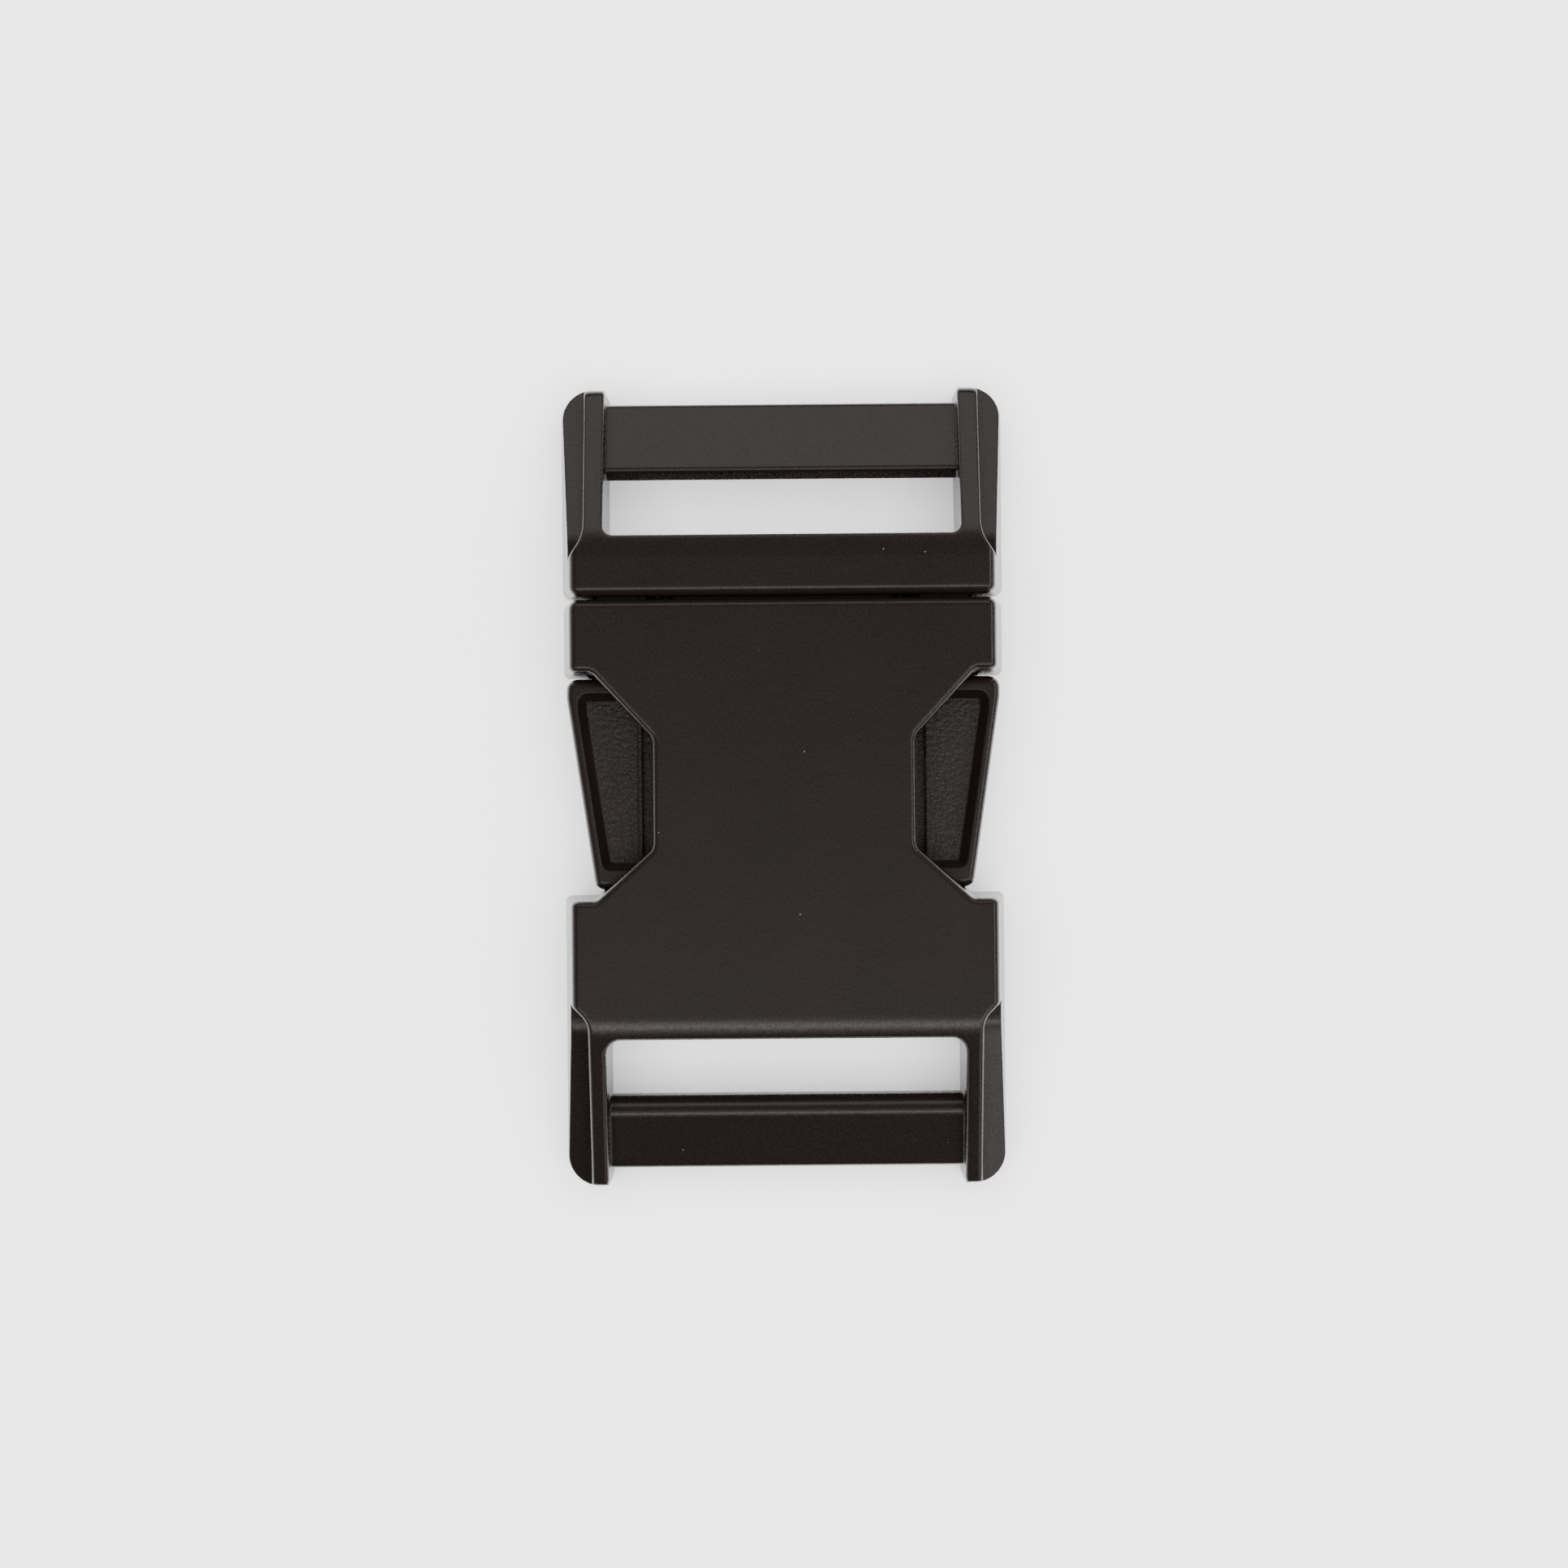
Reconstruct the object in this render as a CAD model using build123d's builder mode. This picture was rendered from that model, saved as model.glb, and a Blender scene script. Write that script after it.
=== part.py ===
from build123d import *
import os
from math import radians, tan

os.makedirs("parts", exist_ok=True)

# Shared frame: X across the width, Y along the strap with the plug half at +Y, Z up out of the front.
# The origin is under the middle of the buckle, on the surface it rests on. Millimetres throughout.

# Overall sizes
half_width = 16.25
plug_half_width = 16.3
tip_y = 29.55
front_z = 9.6
back_z = 1.6
parting_z = 3.6
wall_draft = 7.0
plug_wall_draft = 8.0
tip_radius = 2.4
corner_radius = 0.7
rim_radius = 0.6
plug_rim_radius = 0.65
back_radius = 0.6

# End frames, bent back from the flat middle
slope_deg = 19.0
drop = tan(radians(slope_deg))
foot_radius = 4.0
plug_bend_radius = 7.0
socket_bend_radius = 5.0
flange_bend_radius = 4.0
bend_half = tan(radians(slope_deg / 2))
socket_bend_y = 17.5
plug_bend_y = 17.9
foot_y = 27.8
arch_y = 17.5
past_tip_y = 31.0

# Flanges beside the ribs
flange_step = 1.5
flange_lean = 12.0
flange_x = 18.0
socket_rib_x = 14.42
socket_step = (15.6, -15.85)
socket_step_end_y = -17.1
socket_step_radii = (1.0, 1.7)
plug_rib_x = 14.5
plug_step = (15.9, 16.3)
plug_step_end_y = 18.4
plug_step_radii = (1.0, 3.0)
rib_edge_radius = 0.35
plug_edge_radius = 0.2

# Strap slots and bars
socket_slot_y = -18.55
plug_slot_y = 18.6
socket_slot_draft = 1.0
plug_slot_draft = 1.2
bar_recess = 1.35
bar_depth = 3.3
bar_half_length = 13.45
bar_joint_radius = 0.2

# Socket body
mouth_y = 13.7
plate = 1.8
window_top_y = 8.1
window_low_y = -7.94
waist_x = 9.86
window_draft = 3.0
window_radius = 0.45
cavity_x = 14.4
cavity_low_z = back_z + plate
cavity_high_z = front_z - plate
guide_x = 3.6
guide_y = -10.6

# Plug body
root_y = 13.95
tongue_x = 3.4
tongue_y = -10.1
tongue_gap = 0.2
pocket_x = (9.2, 14.0)
pocket_radius = 1.95

# Latches
pivot = (11.3, 15.8)
mid_z = (cavity_low_z + cavity_high_z) / 2
latch_half = 2.05
latch_draft = 3.0
eye_radius = 1.65
shoulder_y = 8.02
latch_x = 15.95
latch_low_y = -7.5
latch_low_x = 13.9
arm_x = 13.6
inner_x = 8.9
pad_depth = 1.2
pad_slope = 26.0
pad_rim_radius = 0.55
pad_corner_radius = 0.75
ledge_x = (9.75, 10.4, 10.85)
ledge_y = (-6.0, 6.3)

# Pins and springs
pin_radius = 1.0
pin_press = 0.02
pin_running = 0.05
pin_low_z = back_z + 0.15
pin_high_z = 8.5
spring_y = 4.5
spring_radius = 1.3
wire_radius = 0.2
spring_turns = 5.5
seat_radius = 1.75
seat_depth = 0.7
boss_radius = 0.75
boss_length = 1.0


# Socket half: mouth block, hourglass plates, end block and the lower end frame
with BuildPart() as female_frame:
    with BuildSketch(Plane.XY.offset(parting_z)) as socket_plan:
        with BuildLine():
            Polyline(
                (-half_width, mouth_y + 2),
                (-half_width, -tip_y),
                (half_width, -tip_y),
                (half_width, mouth_y + 2),
                close=True,
            )
        make_face()
        fillet(socket_plan.vertices().group_by(Axis.Y)[0], tip_radius)
    extrude(socket_plan.sketch, amount=front_z - parting_z, taper=wall_draft)
    extrude(socket_plan.sketch, amount=-parting_z, taper=wall_draft)
    split(bisect_by=Plane.XZ.offset(-mouth_y))
    fillet(
        female_frame.edges().filter_by(
            lambda e: e.center().Y > mouth_y - 0.01 and abs(e.center().X) > 15
        ),
        corner_radius,
    )
    fillet(female_frame.faces().sort_by(Axis.Z)[-1].edges(), rim_radius)

    # Side view: flat middle, lower end bent back, rail tips that rest on the surface
    with BuildSketch(Plane.YZ) as socket_side:
        with BuildLine():
            start_y = socket_bend_radius * bend_half - socket_bend_y
            bend = JernArc((start_y, front_z), (-1, 0), socket_bend_radius, slope_deg)
            Polyline(
                bend @ 1,
                (-past_tip_y, front_z - (past_tip_y - socket_bend_y) * drop),
                (-past_tip_y, 0),
                (-foot_y, 0),
                (-arch_y, back_z),
                (mouth_y + 1, back_z),
                (mouth_y + 1, front_z + 1),
                (start_y, front_z + 1),
                (start_y, front_z),
            )
        make_face()
        fillet(
            socket_side.vertices().filter_by(lambda v: abs(v.X + arch_y) < 0.01),
            foot_radius,
        )
        fillet(
            socket_side.vertices().filter_by(lambda v: abs(v.X + foot_y) < 0.01),
            foot_radius,
        )
    extrude(socket_side.sketch, amount=half_width + 4, both=True, mode=Mode.INTERSECT)
    fillet(
        female_frame.edges().filter_by(
            lambda e: e.center().Z < back_z + 0.3
            and (abs(e.center().X) > 10 or e.center().Y > 13)
        ),
        back_radius,
    )

    # Side windows that leave the hourglass plates
    with BuildSketch(Plane.XY.offset(parting_z)) as window:
        with BuildLine():
            Polyline(
                (17.5, window_top_y),
                (14.1, window_top_y),
                (waist_x, 3.5),
                (waist_x, -4.3),
                (13.85, window_low_y),
                (17.5, window_low_y),
                close=True,
            )
        make_face()
        fillet(window.vertices().group_by(Axis.X)[0], 0.8)
        fillet(window.vertices().filter_by(lambda v: 13 < v.X < 15), 0.5)
        mirror(about=Plane.YZ)
    extrude(window.sketch, amount=7, taper=-window_draft, mode=Mode.SUBTRACT)
    extrude(window.sketch, amount=-4, taper=-window_draft, mode=Mode.SUBTRACT)
    fillet(
        female_frame.edges().filter_by(
            lambda e: abs(e.center().X) > 15
            and min(abs(e.center().Y - window_top_y), abs(e.center().Y - window_low_y)) < 0.4
            and 2 < e.center().Z < 9.3
        ),
        window_radius,
    )

    # Outer flanges, set below the ribs behind a curved step and leaning outwards
    with BuildSketch(Plane.YZ) as flange_side:
        with BuildLine():
            Polyline(
                (0, front_z - flange_step),
                (-socket_bend_y, front_z - flange_step),
                (
                    -past_tip_y,
                    front_z - flange_step - (past_tip_y - socket_bend_y) * drop,
                ),
                (-past_tip_y, front_z + 3),
                (0, front_z + 3),
                close=True,
            )
        make_face()
        fillet(
            flange_side.vertices().filter_by(lambda v: abs(v.X + socket_bend_y) < 0.01),
            flange_bend_radius,
        )
    with BuildSketch() as flange_plan:
        with BuildLine():
            Polyline(
                (flange_x, socket_step[1]),
                socket_step,
                (socket_rib_x, socket_step_end_y),
                (socket_rib_x, -past_tip_y),
                (flange_x, -past_tip_y),
                close=True,
            )
        make_face()
        fillet(
            flange_plan.vertices().filter_by(lambda v: abs(v.X - socket_step[0]) < 0.01),
            socket_step_radii[0],
        )
        fillet(
            flange_plan.vertices().filter_by(lambda v: abs(v.Y - socket_step_end_y) < 0.01),
            socket_step_radii[1],
        )
    foot_line = Axis((socket_rib_x, 0, front_z - flange_step), (0, 1, 0))
    above_flange = extrude(flange_side.sketch, amount=20, both=True, mode=Mode.PRIVATE)
    above_flange = above_flange.rotate(foot_line, flange_lean)
    above_flange = above_flange & extrude(flange_plan.sketch, amount=12, mode=Mode.PRIVATE)
    add(above_flange, mode=Mode.SUBTRACT)
    add(mirror(above_flange, about=Plane.YZ, mode=Mode.PRIVATE), mode=Mode.SUBTRACT)

    # Strap opening, flared towards the front, open past the strap bar
    with BuildSketch(Plane.XY.offset(-1)) as socket_opening:
        with BuildLine():
            Polyline(
                (-13.6, -past_tip_y),
                (13.6, -past_tip_y),
                (13.02, -29.0),
                (12.96, socket_slot_y),
                (-12.96, socket_slot_y),
                (-13.02, -29.0),
                close=True,
            )
        make_face()
        fillet(socket_opening.vertices().group_by(Axis.Y)[-1], 0.9)
        fillet(
            socket_opening.vertices().filter_by(lambda v: abs(v.Y + 29.0) < 0.01), 0.8
        )
    extrude(socket_opening.sketch, amount=12, taper=-socket_slot_draft, mode=Mode.SUBTRACT)
    fillet(
        female_frame.edges().filter_by(
            lambda e: e.center().Y < -15.9
            and e.center().Z > 4.8
            and -0.5
            < e.center().Z - front_z + max(0, -e.center().Y - socket_bend_y) * drop
            < 0.3
            and abs(e.tangent_at(0.5).Z) < 0.9
        ),
        rib_edge_radius,
    )

    # Strap bar, recessed between the ribs
    with BuildSketch(Plane.YZ) as socket_bar:
        with BuildLine():
            bar_top = front_z - bar_recess + socket_bend_y * drop
            Polyline(
                (-23.0, bar_top - 23.0 * drop),
                (-22.6, bar_top - 22.6 * drop - 1.9),
                (-22.9, bar_top - 22.9 * drop - bar_depth),
                (-28.1, bar_top - 28.1 * drop - bar_depth),
                (-28.25, bar_top - 28.25 * drop - 1.6),
                (-28.1, bar_top - 28.1 * drop),
                close=True,
            )
        make_face()
        fillet(
            socket_bar.vertices().filter_by(lambda v: abs(v.X + 23.0) < 0.01), 1.2
        )
        fillet(socket_bar.vertices().filter_by(lambda v: abs(v.X + 28.1) < 0.01), 0.4)
        fillet(socket_bar.vertices().filter_by(lambda v: abs(v.X + 22.9) < 0.01), 0.5)
    extrude(socket_bar.sketch, amount=bar_half_length, both=True)
    fillet(
        female_frame.edges().filter_by(
            lambda e: 12.7 < abs(e.center().X) < 13.4
            and -28.4 < e.center().Y < -22.7
            and -0.7 < e.center().Z - bar_top - e.center().Y * drop < 0.05
        ),
        bar_joint_radius,
    )

    # Hollow for the latches and the guide tongue, open at the mouth and the windows
    with BuildSketch(Plane.XY.offset(cavity_low_z)) as cavity:
        with BuildLine():
            Polyline(
                (-cavity_x, mouth_y + 1),
                (-cavity_x, 4),
                (-13.2, -8.2),
                (-guide_x, -8.2),
                (-guide_x, guide_y),
                (guide_x, guide_y),
                (guide_x, -8.2),
                (13.2, -8.2),
                (cavity_x, 4),
                (cavity_x, mouth_y + 1),
                close=True,
            )
        make_face()
    extrude(cavity.sketch, amount=cavity_high_z - cavity_low_z, mode=Mode.SUBTRACT)
female_frame.part.label = "female_frame"
export_step(female_frame.part, "parts/female_frame.step")


# Plug half: root block, upper end frame and the guide tongue
with BuildPart() as male_frame:
    with BuildSketch(Plane.XY.offset(parting_z)) as plug_plan:
        with BuildLine():
            Polyline(
                (-plug_half_width, tip_y),
                (-plug_half_width, root_y - 2),
                (plug_half_width, root_y - 2),
                (plug_half_width, tip_y),
                close=True,
            )
        make_face()
        fillet(plug_plan.vertices().group_by(Axis.Y)[-1], tip_radius)
    extrude(plug_plan.sketch, amount=front_z - parting_z, taper=plug_wall_draft)
    extrude(plug_plan.sketch, amount=-parting_z, taper=plug_wall_draft)
    split(bisect_by=Plane.XZ.offset(-root_y), keep=Keep.BOTTOM)
    fillet(
        male_frame.edges().filter_by(
            lambda e: e.center().Y < root_y + 0.01 and abs(e.center().X) > 15
        ),
        corner_radius,
    )

    # Side view of the plug half
    with BuildSketch(Plane.YZ) as plug_side:
        with BuildLine():
            start_y = plug_bend_y - plug_bend_radius * bend_half
            bend = JernArc((start_y, front_z), (1, 0), plug_bend_radius, -slope_deg)
            Polyline(
                bend @ 1,
                (past_tip_y, front_z - (past_tip_y - plug_bend_y) * drop),
                (past_tip_y, 0),
                (foot_y, 0),
                (arch_y, back_z),
                (root_y - 1, back_z),
                (root_y - 1, front_z + 1),
                (start_y, front_z + 1),
                (start_y, front_z),
            )
        make_face()
        fillet(
            plug_side.vertices().filter_by(lambda v: abs(v.X - arch_y) < 0.01),
            foot_radius,
        )
        fillet(
            plug_side.vertices().filter_by(lambda v: abs(v.X - foot_y) < 0.01),
            foot_radius,
        )
    extrude(plug_side.sketch, amount=plug_half_width + 4, both=True, mode=Mode.INTERSECT)
    fillet(
        male_frame.edges().filter_by(
            lambda e: e.center().Z > 4.8
            and abs(e.center().Z - front_z + max(0, e.center().Y - plug_bend_y) * drop) < 0.3
            and abs(e.tangent_at(0.5).Z) < 0.9
            and not (abs(e.center().X) < 1 and 15 < e.center().Y < 20)
        ),
        plug_rim_radius,
    )
    fillet(
        male_frame.edges().filter_by(
            lambda e: e.center().Z < back_z + 0.3
            and (abs(e.center().X) > 10 or e.center().Y < 15)
        ),
        back_radius,
    )

    # Outer flanges with the long swept step up to the block
    with BuildSketch(Plane.YZ) as plug_flange_side:
        with BuildLine():
            Polyline(
                (0, front_z - flange_step),
                (plug_bend_y, front_z - flange_step),
                (past_tip_y, front_z - flange_step - (past_tip_y - plug_bend_y) * drop),
                (past_tip_y, front_z + 3),
                (0, front_z + 3),
                close=True,
            )
        make_face()
        fillet(
            plug_flange_side.vertices().filter_by(
                lambda v: abs(v.X - plug_bend_y) < 0.01
            ),
            flange_bend_radius,
        )
    with BuildSketch() as plug_flange_plan:
        with BuildLine():
            Polyline(
                (flange_x, plug_step[1] - 0.4),
                (flange_x, past_tip_y),
                (plug_rib_x, past_tip_y),
                (plug_rib_x, plug_step_end_y),
                plug_step,
                (plug_step[0] + 1.1, plug_step[1] - 0.4),
                close=True,
            )
        make_face()
        fillet(
            plug_flange_plan.vertices().filter_by(
                lambda v: abs(v.Y - plug_step_end_y) < 0.01
            ),
            plug_step_radii[1],
        )
        fillet(
            plug_flange_plan.vertices().filter_by(
                lambda v: abs(v.X - plug_step[0]) < 0.01
            ),
            plug_step_radii[0],
        )
        mirror(about=Plane.YZ)
    add(
        extrude(plug_flange_side.sketch, amount=20, both=True, mode=Mode.PRIVATE)
        & extrude(plug_flange_plan.sketch, amount=12, mode=Mode.PRIVATE),
        mode=Mode.SUBTRACT,
    )

    # Strap opening of the plug half
    with BuildSketch(Plane.XY.offset(-1)) as plug_opening:
        with BuildLine():
            Polyline(
                (-12.85, plug_slot_y),
                (12.85, plug_slot_y),
                (12.85, 29.1),
                (13.6, past_tip_y),
                (-13.6, past_tip_y),
                (-12.85, 29.1),
                close=True,
            )
        make_face()
        fillet(plug_opening.vertices().group_by(Axis.Y)[0], 0.5)
        fillet(plug_opening.vertices().filter_by(lambda v: abs(v.Y - 29.1) < 0.01), 0.8)
    extrude(plug_opening.sketch, amount=12, taper=-plug_slot_draft, mode=Mode.SUBTRACT)
    fillet(
        male_frame.edges().filter_by(
            lambda e: e.center().Y > 15.7
            and e.center().Z > 4.8
            and -0.5
            < e.center().Z - front_z + max(0, e.center().Y - plug_bend_y) * drop
            < 0.3
            and abs(e.tangent_at(0.5).Z) < 0.9
        ),
        plug_edge_radius,
    )

    # Strap bar of the plug half
    with BuildSketch(Plane.YZ) as plug_bar:
        with BuildLine():
            bar_top = front_z - bar_recess + plug_bend_y * drop
            Polyline(
                (28.3, bar_top - 28.3 * drop),
                (28.45, bar_top - 28.45 * drop - 1.6),
                (28.3, bar_top - 28.3 * drop - bar_depth),
                (23.15, bar_top - 23.15 * drop - bar_depth),
                (22.8, bar_top - 22.8 * drop - 2.4),
                (22.68, bar_top - 22.68 * drop - 1.4),
                (23.25, bar_top - 23.25 * drop),
                close=True,
            )
        make_face()
        fillet(plug_bar.vertices().filter_by(lambda v: abs(v.X - 28.3) < 0.01), 0.35)
        fillet(plug_bar.vertices().filter_by(lambda v: abs(v.X - 23.25) < 0.01), 0.35)
        fillet(plug_bar.vertices().filter_by(lambda v: abs(v.X - 23.15) < 0.01), 0.5)
    extrude(plug_bar.sketch, amount=bar_half_length, both=True)
    fillet(
        male_frame.edges().filter_by(
            lambda e: 12.7 < abs(e.center().X) < 13.4
            and 22.7 < e.center().Y < 28.5
            and -0.7 < e.center().Z - bar_top + e.center().Y * drop < 0.05
        ),
        bar_joint_radius,
    )

    # Pockets for the latch eyes, open towards the socket
    with BuildSketch(Plane.XY.offset(cavity_low_z)) as eye_pocket:
        with BuildLine():
            Polyline(
                (pocket_x[0], root_y - 2),
                (pocket_x[1], root_y - 2),
                (pocket_x[1], pivot[1] - 1.0),
                (pivot[0] + 1.6, pivot[1]),
                (pivot[0] - 1.6, pivot[1]),
                (pocket_x[0], pivot[1] - 0.6),
                close=True,
            )
        make_face()
        with Locations(pivot):
            Circle(pocket_radius)
        mirror(about=Plane.YZ)
    extrude(eye_pocket.sketch, amount=cavity_high_z - cavity_low_z, mode=Mode.SUBTRACT)

    # Guide tongue with a boss each side for the springs
    with BuildSketch(Plane.XY.offset(cavity_low_z + tongue_gap)) as tongue:
        with BuildLine():
            Polyline(
                (-8.0, root_y + 0.6),
                (-8.0, 12.0),
                (-tongue_x, 8.6),
                (-tongue_x, tongue_y + 0.8),
                (-tongue_x + 0.8, tongue_y),
                (tongue_x - 0.8, tongue_y),
                (tongue_x, tongue_y + 0.8),
                (tongue_x, 8.6),
                (8.0, 12.0),
                (8.0, root_y + 0.6),
                close=True,
            )
        make_face()
    extrude(tongue.sketch, amount=cavity_high_z - cavity_low_z - 2 * tongue_gap)
    with BuildSketch(Plane.YZ) as spring_boss:
        with Locations((spring_y, mid_z)):
            Circle(boss_radius)
    extrude(spring_boss.sketch, amount=tongue_x + boss_length, both=True)

    # Blind pin holes from the back
    with BuildSketch() as pin_hole:
        with Locations(pivot, (-pivot[0], pivot[1])):
            Circle(pin_radius + pin_press)
    extrude(pin_hole.sketch, amount=pin_high_z + 0.1, mode=Mode.SUBTRACT)
male_frame.part.label = "male_frame"
export_step(male_frame.part, "parts/male_frame.step")


# Right latch: finger pad in the window, shoulder behind the mouth block, arm and eye
with BuildPart() as latch_right:
    with BuildSketch(Plane.XY.offset(mid_z)) as pad_plan:
        with BuildLine():
            Polyline(
                (inner_x, latch_low_y),
                (latch_low_x, latch_low_y),
                (latch_x, 6.5),
                (latch_x, shoulder_y),
                (inner_x, shoulder_y),
                close=True,
            )
        make_face()
        fillet(pad_plan.vertices().filter_by(lambda v: v.X > 15.9 and v.Y > 7), 0.85)
        fillet(
            pad_plan.vertices().filter_by(lambda v: abs(v.X - latch_low_x) < 0.01),
            0.8,
        )
    extrude(pad_plan.sketch, amount=latch_half, taper=latch_draft)
    extrude(pad_plan.sketch, amount=-latch_half, taper=latch_draft)
    fillet(
        latch_right.edges().filter_by(
            lambda e: abs(abs(e.center().Z - mid_z) - latch_half) < 0.01
            and e.center().X > 10.5
        ),
        pad_rim_radius,
    )
    with BuildSketch(Plane.XY.offset(mid_z)) as arm_plan:
        with BuildLine():
            Polyline(
                (inner_x, shoulder_y - 1.5),
                (arm_x, shoulder_y - 1.5),
                (arm_x, 14.0),
                (pivot[0] + 1.2, pivot[1]),
                (pivot[0] - 1.2, pivot[1]),
                (9.8, 12.0),
                (inner_x, shoulder_y),
                close=True,
            )
        make_face()
        with Locations(pivot):
            Circle(eye_radius)
    extrude(arm_plan.sketch, amount=latch_half - 0.35, both=True)

    # Sunk pocket with sloping walls, front and back, and a low ledge with a groove on its inner side
    with BuildSketch(Plane.XY.offset(mid_z + latch_half)) as pad:
        with BuildLine():
            Polyline(
                (10.15, -6.1),
                (13.32, -6.1),
                (15.05, 5.6),
                (15.05, 6.95),
                (10.15, 6.95),
                close=True,
            )
        make_face()
        fillet(pad.vertices().filter_by(lambda v: v.X > 13 and v.Y != 5.6), pad_corner_radius)
    extrude(pad.sketch, amount=-pad_depth, taper=pad_slope, mode=Mode.SUBTRACT)
    with BuildSketch(Plane.XY.offset(mid_z - latch_half)) as pad_back:
        add(pad.sketch.moved(Location((0, 0, 0))))
    extrude(pad_back.sketch, amount=pad_depth, taper=pad_slope, mode=Mode.SUBTRACT)
    floor_z = latch_half - pad_depth
    for low_x, high_x, low_z in (
        (ledge_x[0], ledge_x[2], floor_z + 0.1),
        (ledge_x[0], ledge_x[1], floor_z - 0.45),
    ):
        with BuildSketch(Plane.XY.offset(mid_z)) as ledge:
            with Locations(((low_x + high_x) / 2, sum(ledge_y) / 2)):
                Rectangle(high_x - low_x, ledge_y[1] - ledge_y[0])
        add(
            extrude(ledge.sketch, amount=latch_half + 1, both=True, mode=Mode.PRIVATE)
            - extrude(ledge.sketch, amount=low_z, both=True, mode=Mode.PRIVATE),
            mode=Mode.SUBTRACT,
        )

    # Pivot bore and spring seat
    with BuildSketch() as pivot_bore:
        with Locations(pivot):
            Circle(pin_radius + pin_running)
    extrude(pivot_bore.sketch, amount=12, mode=Mode.SUBTRACT)
    with BuildSketch(Plane.YZ.offset(inner_x - 1)) as seat:
        with Locations((spring_y, mid_z)):
            Circle(seat_radius)
    extrude(seat.sketch, amount=1 + seat_depth, mode=Mode.SUBTRACT)
latch_right.part.label = "latch_right"
export_step(latch_right.part, "parts/latch_right.step")

with BuildPart() as latch_left:
    mirror(latch_right.part, about=Plane.YZ)
latch_left.part.label = "latch_left"
export_step(latch_left.part, "parts/latch_left.step")


# Pivot pins, pushed in from the back
with BuildPart() as pivot_pin_right:
    with BuildSketch(Plane.XY.offset(pin_low_z)) as pin_round:
        with Locations(pivot):
            Circle(pin_radius)
    extrude(pin_round.sketch, amount=pin_high_z - pin_low_z)
    chamfer(pivot_pin_right.edges().group_by(Axis.Z)[-1], 0.2)
pivot_pin_right.part.label = "pivot_pin_right"
export_step(pivot_pin_right.part, "parts/pivot_pin_right.step")

with BuildPart() as pivot_pin_left:
    mirror(pivot_pin_right.part, about=Plane.YZ)
pivot_pin_left.part.label = "pivot_pin_left"
export_step(pivot_pin_left.part, "parts/pivot_pin_left.step")


# Small coil springs that push the latches apart
spring_start_x = tongue_x + wire_radius + 0.05
spring_end_x = inner_x + seat_depth - wire_radius - 0.05
with BuildPart() as spring_right:
    with BuildLine() as coil:
        Helix(
            pitch=(spring_end_x - spring_start_x) / spring_turns,
            height=spring_end_x - spring_start_x,
            radius=spring_radius,
            center=(spring_start_x, spring_y, mid_z),
            direction=(1, 0, 0),
        )
    with BuildSketch(Plane(origin=coil.line @ 0, z_dir=coil.line % 0)) as wire:
        Circle(wire_radius)
    sweep(wire.sketch, path=coil.line, is_frenet=True)
spring_right.part.label = "spring_right"
export_step(spring_right.part, "parts/spring_right.step")

with BuildPart() as spring_left:
    mirror(spring_right.part, about=Plane.YZ)
spring_left.part.label = "spring_left"
export_step(spring_left.part, "parts/spring_left.step")
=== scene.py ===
"""Side release buckle for 25 mm webbing: die-cast zinc halves and levers under a thick black baked coat."""

from math import cos, pi, radians, sin

import bmesh
import bpy
from mathutils import Matrix, Vector


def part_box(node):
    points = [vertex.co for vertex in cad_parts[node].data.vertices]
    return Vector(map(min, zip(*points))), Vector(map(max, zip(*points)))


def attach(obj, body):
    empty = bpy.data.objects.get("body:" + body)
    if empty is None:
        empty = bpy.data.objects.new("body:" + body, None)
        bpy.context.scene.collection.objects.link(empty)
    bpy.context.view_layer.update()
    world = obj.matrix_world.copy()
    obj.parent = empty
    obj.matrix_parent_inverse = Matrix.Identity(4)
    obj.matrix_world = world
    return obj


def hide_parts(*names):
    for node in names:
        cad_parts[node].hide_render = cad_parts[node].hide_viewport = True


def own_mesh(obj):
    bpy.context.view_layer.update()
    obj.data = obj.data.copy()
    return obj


bl_info = {
    "name": "Side Release Buckle",
    "version": (1, 0, 0),
    "blender": (4, 5, 0),
    "location": "View3D > Sidebar > Buckle",
    "description": "Coats the buckle's solids, winds its springs and sets the stage",
    "category": "Add Mesh",
}

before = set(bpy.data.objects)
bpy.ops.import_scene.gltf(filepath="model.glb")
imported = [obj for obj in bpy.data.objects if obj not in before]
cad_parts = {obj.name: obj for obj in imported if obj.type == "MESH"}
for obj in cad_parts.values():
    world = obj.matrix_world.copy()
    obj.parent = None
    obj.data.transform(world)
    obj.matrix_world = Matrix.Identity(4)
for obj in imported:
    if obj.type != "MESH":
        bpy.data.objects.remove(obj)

MM = 0.001
COIL_STEPS_PER_TURN = 20
WIRE_SIDES = 10
LAMP_DISTANCE = 0.9
FLOOR_HALF_WIDTH = 1.2
CAMERA_Y = 0.18 * MM
ROOM_GREY = (0.03, 0.03, 0.03, 1.0)

# The rough floor of a lever's pocket: it ends at the line |x| = POCKET_EDGE_X + POCKET_EDGE_SLOPE * y, and
# lies at POCKET_FLOOR_DEPTH from the lever's middle height, the two ends of the change to the smooth rim
LEVER_MIDDLE_Z = (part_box("latch_right")[0].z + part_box("latch_right")[1].z) / 2
POCKET_EDGE_X = 13.62 * MM
POCKET_EDGE_SLOPE = 0.148
POCKET_FLOOR_DEPTH = (0.9 * MM, 1.1 * MM)

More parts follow.
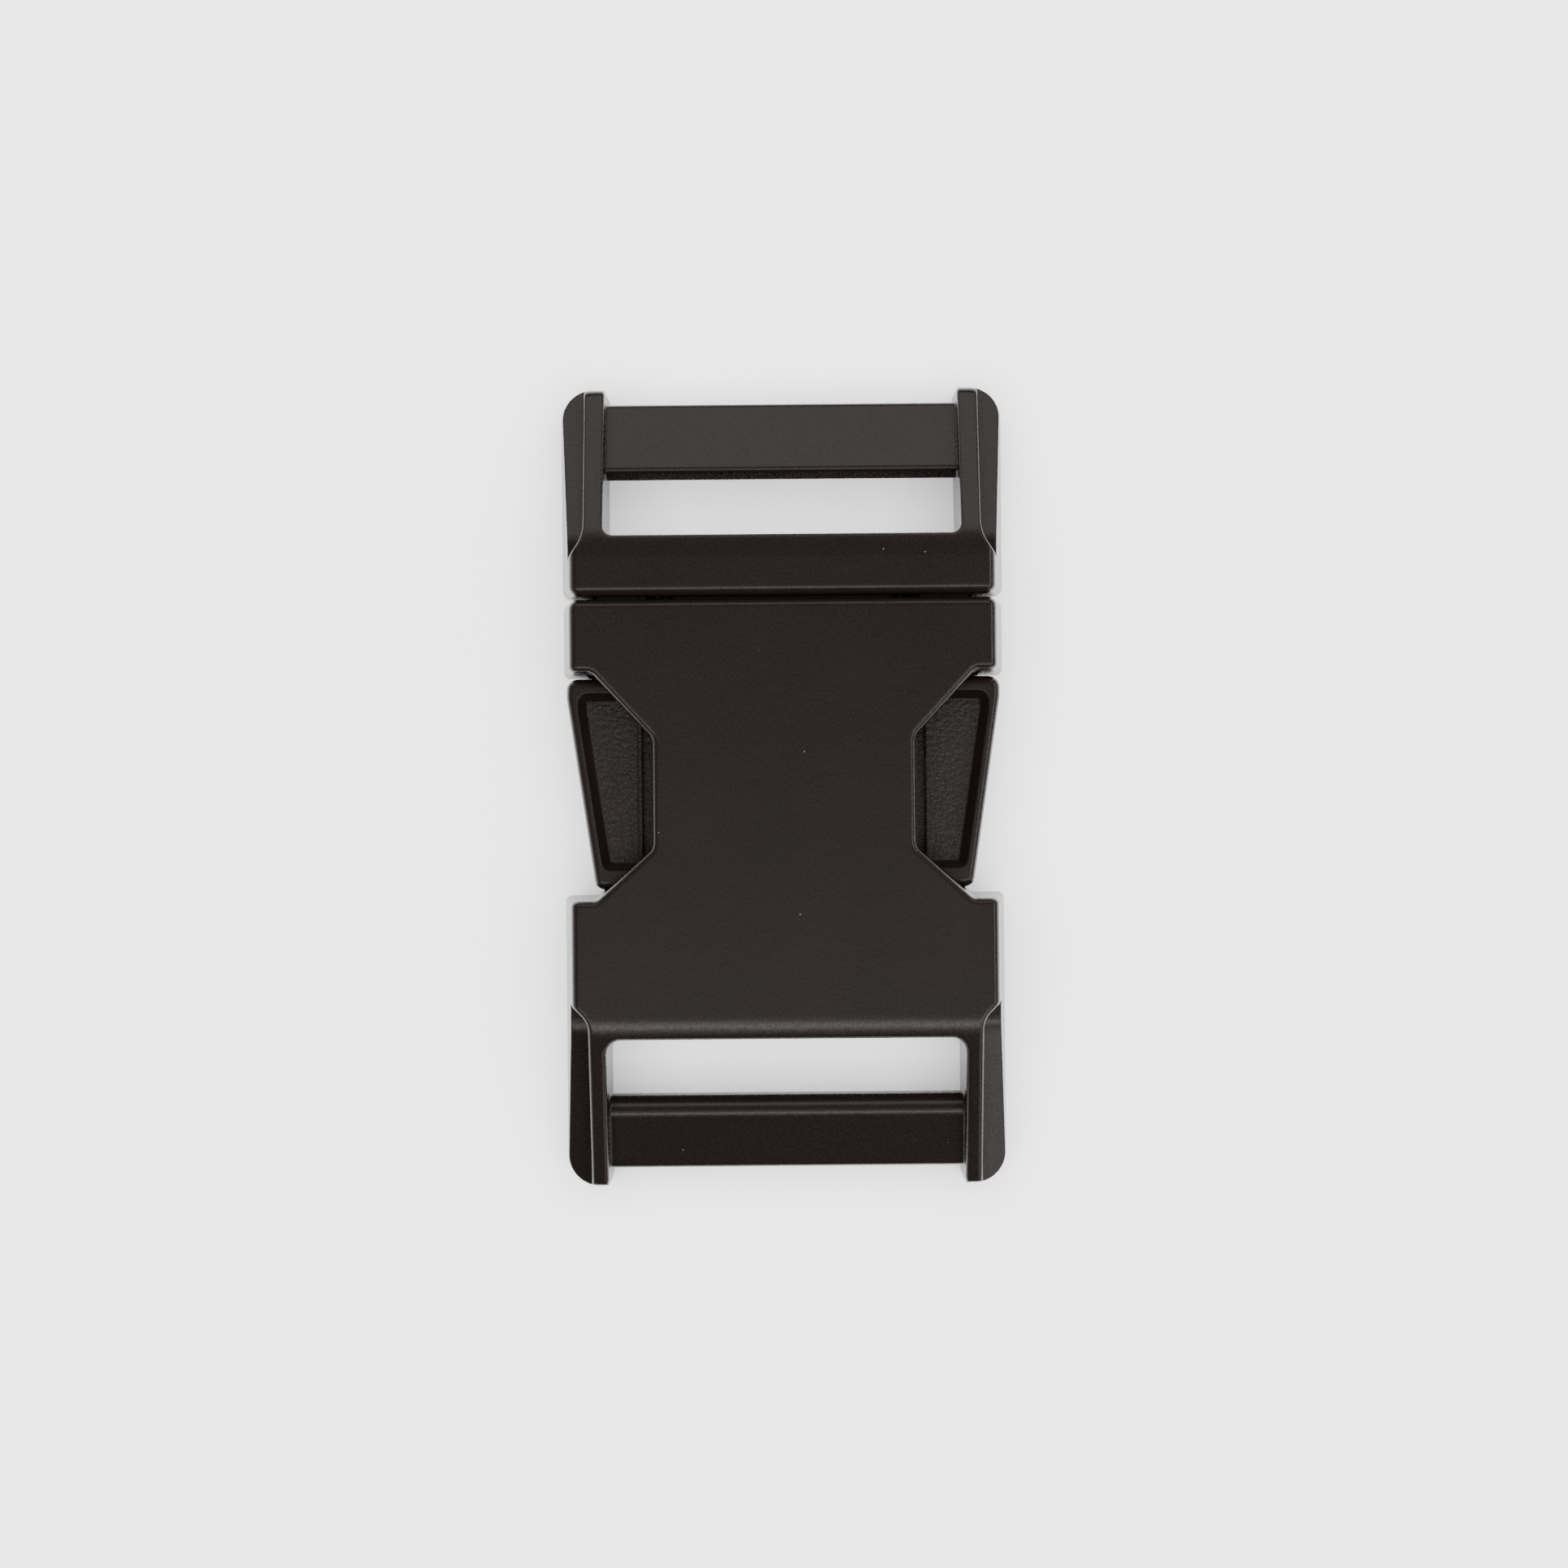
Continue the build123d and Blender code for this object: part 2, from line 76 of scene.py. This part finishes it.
# Name, azimuth and lean from the zenith in degrees, width and height in metres, brightness, seen in the gloss
LIGHTS = (
    ("top_panel", 270, 5, 0.8, 0.18, 0.5, True),
    ("back_strip", 270, 21, 1.1, 0.13, 4.6, True),
    ("front_softbox", 90, 45, 1.0, 0.34, 1.3, True),
    ("right_strip", 0, 48, 1.0, 0.15, 4.5, True),
    ("right_corner_box", 306, 53, 0.3, 0.3, 1.9, True),
    ("left_panel", 180, 75, 1.4, 0.5, 0.65, True),
    ("overhead_fill", 90, 2, 1.3, 1.3, 8.5, False),
)


def linear(hex_colour):
    """An sRGB hex colour as linear light, with alpha."""
    parts = [int(hex_colour[i : i + 2], 16) / 255 for i in (1, 3, 5)]
    return [c / 12.92 if c <= 0.04045 else ((c + 0.055) / 1.055) ** 2.4 for c in parts] + [1.0]


def colour(name, description, hex_colour):
    return bpy.props.FloatVectorProperty(
        name=name, description=description, subtype="COLOR", size=4, min=0, max=1, default=linear(hex_colour)
    )


def length(name, description, millimetres):
    return bpy.props.FloatProperty(
        name=name, description=description, unit="LENGTH", subtype="DISTANCE", default=millimetres * MM, precision=6
    )


def amount(name, description, value, high=1.0):
    return bpy.props.FloatProperty(
        name=name, description=description, subtype="FACTOR", min=0, max=high, default=value
    )


class BUCKLE_PG_coat(bpy.types.PropertyGroup):
    """The baked black coat on all castings."""

    black: colour("Coat", "Warm brown-black of the baked coat", "#0d0908")
    thin: colour("Thin coat", "Slightly paler tone where the coat is thinner", "#110c0b")
    dust: colour("Dust", "Fine pale specks caught in the coat", "#5c554d")
    dust_spacing: length("Dust spacing", "Width of the cells that may each hold one speck", 1.5)
    dust_size: amount("Speck size", "Radius of a speck, as a share of its cell", 0.03)
    dust_share: amount("Dust share", "Share of the cells that hold a speck", 0.28)
    edge: length("Edge", "Radius that the thick coat gives to a sharp edge", 0.2)
    gloss_rough: amount("Roughness", "Roughness of the semi-gloss coat", 0.25)
    peel: length("Orange peel", "Width of one dimple of the orange peel", 0.55)
    peel_height: length("Peel height", "Height of the orange peel", 0.006)
    grain: length("Grain", "Width of the finest grain, drawn coarse enough to show", 0.2)
    grain_height: length("Grain height", "Height of the finest grain", 0.0026)
    flow: length("Flow", "Width of the slow waves left by the casting", 3.2)
    flow_height: length("Flow height", "Height of those waves", 0.008)
    sand: length("Sunk floor grain", "Width of a bump on the rough sunk floors", 0.32)
    sand_height: length("Sunk floor height", "Height of a bump on the rough sunk floors", 0.11)


class BUCKLE_PG_steel(bpy.types.PropertyGroup):
    """The pins and the springs."""

    pin: colour("Pin steel", "Ground steel of the pivot pins", "#8d8f92")
    wire: colour("Spring wire", "Drawn wire of the springs", "#9a9a98")
    wire_radius: length("Wire radius", "Radius of the spring wire", 0.2)
    coil_radius: length("Coil radius", "Radius of the coil to the middle of the wire", 1.3)
    turns: bpy.props.FloatProperty(name="Turns", description="Turns in each spring", default=5.5, min=1, max=12)


class BUCKLE_PG_stage(bpy.types.PropertyGroup):
    """Floor, lights and camera."""

    floor: colour("Floor", "Pale seamless floor", "#fbfaf9")
    camera_height: length("Camera height", "Height of the camera above the floor", 269.6)
    lens: bpy.props.FloatProperty(name="Lens", description="Focal length on a 36 mm sensor, in mm", default=82.2)
    roll: bpy.props.FloatProperty(
        name="Roll", description="Turn of the camera about its own axis", subtype="ANGLE", default=radians(-0.51)
    )


def add_node(tree, kind, inputs=None, **settings):
    """Adds one node with its settings; an input is a value, or another node's output to link."""
    made = tree.nodes.new(kind)
    for key, value in settings.items():
        setattr(made, key, value)
    for socket, value in (inputs or {}).items():
        if isinstance(value, bpy.types.NodeSocket):
            tree.links.new(value, made.inputs[socket])
        else:
            made.inputs[socket].default_value = value
    return made


def new_material(name):
    """An empty node material with its output node, and the piece's own place in space."""
    material = bpy.data.materials.new(name)
    material.use_nodes = True
    tree = material.node_tree
    tree.nodes.clear()
    output = tree.nodes.new("ShaderNodeOutputMaterial")
    place = add_node(tree, "ShaderNodeTexCoord").outputs["Object"]
    return material, tree, output, place


def baked_black_coat(name, coat, sunk_floor=False):
    """Black baked coat on a zinc die casting: semi-gloss and thick, so edges look soft, the face has a fine
    grain, an orange peel and slow waves from the casting, and a few pale specks of dust sit in it."""
    material, tree, output, place = new_material(name)
    slow = add_node(
        tree, "ShaderNodeTexNoise", {"Vector": place, "Scale": 1 / coat.flow, "Detail": 2.0, "Roughness": 0.5}
    )
    patch = add_node(
        tree, "ShaderNodeTexNoise", {"Vector": place, "Scale": 0.45 / coat.flow, "Detail": 3.0, "Roughness": 0.6}
    )
    peel = add_node(
        tree, "ShaderNodeTexNoise", {"Vector": place, "Scale": 1 / coat.peel, "Detail": 1.0, "Roughness": 0.5}
    )
    grain = add_node(
        tree, "ShaderNodeTexNoise", {"Vector": place, "Scale": 1 / coat.grain, "Detail": 1.0, "Roughness": 0.6}
    )
    tone = add_node(
        tree,
        "ShaderNodeMix",
        {"Factor": patch.outputs["Fac"], "A": coat.black, "B": coat.thin},
        data_type="RGBA",
    )
    # Dust: one speck in a few of the cells, each under a tenth of a millimetre wide
    cells = add_node(tree, "ShaderNodeTexVoronoi", {"Vector": place, "Scale": 1 / coat.dust_spacing})
    near = add_node(
        tree, "ShaderNodeMath", {0: cells.outputs["Distance"], 1: coat.dust_size}, operation="LESS_THAN"
    )
    chosen = add_node(tree, "ShaderNodeSeparateColor", {"Color": cells.outputs["Color"]})
    rare = add_node(
        tree, "ShaderNodeMath", {0: chosen.outputs["Red"], 1: 1 - coat.dust_share}, operation="GREATER_THAN"
    )
    speck = add_node(tree, "ShaderNodeMath", {0: near.outputs[0], 1: rare.outputs[0]}, operation="MULTIPLY")
    dusted = add_node(
        tree,
        "ShaderNodeMix",
        {"Factor": speck.outputs[0], "A": tone.outputs["Result"], "B": coat.dust},
        data_type="RGBA",
    )
    rough = add_node(
        tree,
        "ShaderNodeMapRange",
        {
            "Value": grain.outputs["Fac"],
            "From Min": 0.3,
            "From Max": 0.7,
            "To Min": coat.gloss_rough - 0.03,
            "To Max": coat.gloss_rough + 0.05,
        },
    )
    soft_edge = add_node(tree, "ShaderNodeBevel", {"Radius": coat.edge}, samples=6)
    wave = add_node(
        tree,
        "ShaderNodeBump",
        {
            "Height": slow.outputs["Fac"],
            "Distance": coat.flow_height,
            "Strength": 1.0,
            "Normal": soft_edge.outputs["Normal"],
        },
    )
    dimple = add_node(
        tree,
        "ShaderNodeBump",
        {
            "Height": peel.outputs["Fac"],
            "Distance": coat.peel_height,
            "Strength": 1.0,
            "Normal": wave.outputs["Normal"],
        },
    )
    fine = add_node(
        tree,
        "ShaderNodeBump",
        {
            "Height": grain.outputs["Fac"],
            "Distance": coat.grain_height,
            "Strength": 1.0,
            "Normal": dimple.outputs["Normal"],
        },
    )
    surface = fine.outputs["Normal"]
    if sunk_floor:
        # The floor of the lever's pocket: as cast, rough as coarse sand under the same coat
        axes = add_node(tree, "ShaderNodeSeparateXYZ", {"Vector": place})
        aside = add_node(tree, "ShaderNodeMath", {0: axes.outputs["X"]}, operation="ABSOLUTE")
        slope = add_node(
            tree,
            "ShaderNodeMath",
            {0: axes.outputs["Y"], 1: -POCKET_EDGE_SLOPE, 2: aside.outputs[0]},
            operation="MULTIPLY_ADD",
        )
        inside = add_node(tree, "ShaderNodeMath", {0: slope.outputs[0], 1: POCKET_EDGE_X}, operation="LESS_THAN")
        level = add_node(tree, "ShaderNodeMath", {0: axes.outputs["Z"], 1: LEVER_MIDDLE_Z}, operation="SUBTRACT")
        depth = add_node(tree, "ShaderNodeMath", {0: level.outputs[0]}, operation="ABSOLUTE")
        low = add_node(
            tree,
            "ShaderNodeMapRange",
            {
                "Value": depth.outputs[0],
                "From Min": POCKET_FLOOR_DEPTH[0],
                "From Max": POCKET_FLOOR_DEPTH[1],
                "To Min": 1.0,
                "To Max": 0.0,
            },
        )
        floor_only = add_node(
            tree, "ShaderNodeMath", {0: inside.outputs[0], 1: low.outputs["Result"]}, operation="MULTIPLY"
        )
        bumps = add_node(
            tree, "ShaderNodeTexNoise", {"Vector": place, "Scale": 1 / coat.sand, "Detail": 4.0, "Roughness": 0.62}
        )
        sand = add_node(
            tree,
            "ShaderNodeBump",
            {
                "Height": bumps.outputs["Fac"],
                "Distance": coat.sand_height,
                "Strength": floor_only.outputs[0],
                "Normal": surface,
            },
        )
        surface = sand.outputs["Normal"]
    shader = add_node(
        tree,
        "ShaderNodeBsdfPrincipled",
        {
            "Base Color": dusted.outputs["Result"],
            "Roughness": rough.outputs["Result"],
            "IOR": 1.5,
            "Normal": surface,
        },
    )
    tree.links.new(shader.outputs["BSDF"], output.inputs["Surface"])
    return material


def ground_steel(name, tint, scratch_mm):
    """Bare steel, ground or drawn: grey, and finely scratched round its length."""
    material, tree, output, place = new_material(name)
    run = add_node(tree, "ShaderNodeMapping", {"Vector": place, "Scale": (1.0, 1.0, 0.06)})
    lines = add_node(
        tree,
        "ShaderNodeTexNoise",
        {"Vector": run.outputs["Vector"], "Scale": 1 / (scratch_mm * MM), "Detail": 2.0},
    )
    rough = add_node(
        tree,
        "ShaderNodeMapRange",
        {"Value": lines.outputs["Fac"], "From Min": 0.3, "From Max": 0.7, "To Min": 0.24, "To Max": 0.42},
    )
    scratch = add_node(
        tree, "ShaderNodeBump", {"Height": lines.outputs["Fac"], "Distance": 0.001 * MM, "Strength": 0.6}
    )
    shader = add_node(
        tree,
        "ShaderNodeBsdfPrincipled",
        {
            "Base Color": tint,
            "Metallic": 1.0,
            "Roughness": rough.outputs["Result"],
            "Normal": scratch.outputs["Normal"],
        },
    )
    tree.links.new(shader.outputs["BSDF"], output.inputs["Surface"])
    return material


def give(node_name, material):
    """Puts a finish on one of the frame's own solids."""
    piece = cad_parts[node_name]
    if not piece.material_slots:
        piece.data.materials.append(material)
    for place in piece.material_slots:
        place.material = material


def finished_piece(name, made, material):
    """Turns a bmesh into an object at the origin, shaded smooth, and returns it."""
    mesh = bpy.data.meshes.new(name)
    made.to_mesh(mesh)
    made.free()
    mesh.materials.append(material)
    mesh.shade_smooth()
    piece = bpy.data.objects.new(name, mesh)
    bpy.context.scene.collection.objects.link(piece)
    return piece


class BUCKLE_OT_castings(bpy.types.Operator):
    """Coats the socket half, the plug half and the two levers"""

    bl_idname = "buckle.castings"
    bl_label = "Coat the castings"

    def execute(self, context):
        coat = context.scene.buckle_coat
        halves = baked_black_coat("baked_black_coat", coat)
        levers = baked_black_coat("baked_black_coat_rough_pocket", coat, sunk_floor=True)
        for name in ("female_frame", "male_frame"):
            give(name, halves)
        for name in ("latch_left", "latch_right"):
            give(name, levers)
        return {"FINISHED"}


class BUCKLE_OT_pins(bpy.types.Operator):
    """Finishes the two pivot pins"""

    bl_idname = "buckle.pins"
    bl_label = "Finish the pivot pins"

    def execute(self, context):
        ground = ground_steel("ground_pin_steel", context.scene.buckle_steel.pin, 0.08)
        for name in ("pivot_pin_left", "pivot_pin_right"):
            give(name, ground)
        return {"FINISHED"}


class BUCKLE_OT_springs(bpy.types.Operator):
    """Winds the coil spring between the tongue and each lever"""

    bl_idname = "buckle.springs"
    bl_label = "Wind the springs"

    def execute(self, context):
        steel = context.scene.buckle_steel
        wire = ground_steel("drawn_spring_wire", steel.wire, 0.06)
        for side, joint in (("left", "left_press"), ("right", "right_press")):
            low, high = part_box("spring_" + side)
            middle = (low + high) / 2
            made = bmesh.new()
            start = bmesh.ops.create_circle(made, cap_ends=False, radius=steel.wire_radius, segments=WIRE_SIDES)
            first = Vector((low.x + steel.wire_radius, middle.y, middle.z + steel.coil_radius))
            stand_up = Matrix.Translation(first) @ Matrix.Rotation(pi / 2, 4, "X")
            bmesh.ops.transform(made, matrix=stand_up, verts=start["verts"])
            steps = int(steel.turns * COIL_STEPS_PER_TURN)
            travel = (high.x - low.x - 2 * steel.wire_radius) / steps
            bmesh.ops.spin(
                made,
                geom=made.verts[:] + made.edges[:],
                cent=(0, middle.y, middle.z),
                axis=(1, 0, 0),
                dvec=(travel, 0, 0),
                angle=steel.turns * 2 * pi,
                steps=steps,
                use_merge=False,
            )
            bmesh.ops.holes_fill(made, edges=[e for e in made.edges if e.is_boundary], sides=0)
            bmesh.ops.recalc_face_normals(made, faces=made.faces)
            coil = finished_piece("coil_spring_" + side, made, wire)
            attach(coil, "buckle")
            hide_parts("spring_" + side)
            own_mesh(coil)
        return {"FINISHED"}


class BUCKLE_OT_stage(bpy.types.Operator):
    """Lays the pale floor and sets the soft lights and the camera"""

    bl_idname = "buckle.stage"
    bl_label = "Set the stage"

    def execute(self, context):
        stage = context.scene.buckle_stage
        material, tree, output, _ = new_material("pale_paper_floor")
        shader = add_node(
            tree, "ShaderNodeBsdfPrincipled", {"Base Color": stage.floor, "Roughness": 0.9, "IOR": 1.3}
        )
        tree.links.new(shader.outputs["BSDF"], output.inputs["Surface"])
        made = bmesh.new()
        bmesh.ops.create_grid(made, x_segments=1, y_segments=1, size=FLOOR_HALF_WIDTH)
        finished_piece("floor", made, material)

        world = bpy.data.worlds.new("soft_room")
        world.use_nodes = True
        world.node_tree.nodes["Background"].inputs["Color"].default_value = ROOM_GREY
        context.scene.world = world

        for name, azimuth, lean, width, height, brightness, glossy in LIGHTS:
            light = bpy.data.lights.new(name, "AREA")
            light.shape = "RECTANGLE"
            light.size, light.size_y = width, height
            light.energy = brightness * pi * width * height
            lamp = bpy.data.objects.new(name, light)
            across, down = radians(azimuth), radians(lean)
            aim = Vector((cos(across) * sin(down), sin(across) * sin(down), cos(down)))
            lamp.location = aim * LAMP_DISTANCE
            lamp.rotation_euler = aim.to_track_quat("Z", "Y").to_euler()
            lamp.visible_glossy = glossy
            lamp.visible_camera = False
            context.scene.collection.objects.link(lamp)

        camera = bpy.data.cameras.new("camera")
        camera.lens, camera.sensor_width = stage.lens, 36
        eye = bpy.data.objects.new("camera", camera)
        eye.location = (0.0, CAMERA_Y, stage.camera_height)
        eye.rotation_euler = (0, 0, stage.roll)
        context.scene.collection.objects.link(eye)
        context.scene.camera = eye
        return {"FINISHED"}


class BUCKLE_PT_panel(bpy.types.Panel):
    """Lists the buckle's settings and steps"""

    bl_idname = "BUCKLE_PT_panel"
    bl_label = "Side Release Buckle"
    bl_space_type = "VIEW_3D"
    bl_region_type = "UI"
    bl_category = "Buckle"

    def draw(self, context):
        for operator in OPERATORS:
            self.layout.operator(operator.bl_idname)
        for place, group in GROUPS.items():
            box = self.layout.box()
            for name in group.__annotations__:
                box.prop(getattr(context.scene, place), name)


GROUPS = {
    "buckle_coat": BUCKLE_PG_coat,
    "buckle_steel": BUCKLE_PG_steel,
    "buckle_stage": BUCKLE_PG_stage,
}
OPERATORS = (BUCKLE_OT_castings, BUCKLE_OT_pins, BUCKLE_OT_springs, BUCKLE_OT_stage)


def register():
    for made in (*GROUPS.values(), *OPERATORS, BUCKLE_PT_panel):
        bpy.utils.register_class(made)
    for name, group in GROUPS.items():
        setattr(bpy.types.Scene, name, bpy.props.PointerProperty(type=group))


def unregister():
    for name in GROUPS:
        delattr(bpy.types.Scene, name)
    for made in (BUCKLE_PT_panel, *reversed(OPERATORS), *reversed(list(GROUPS.values()))):
        bpy.utils.unregister_class(made)


def main():
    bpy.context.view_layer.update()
    register()
    bpy.ops.buckle.stage()
    bpy.ops.buckle.castings()
    bpy.ops.buckle.pins()
    bpy.ops.buckle.springs()


if __name__ == "__main__":
    main()
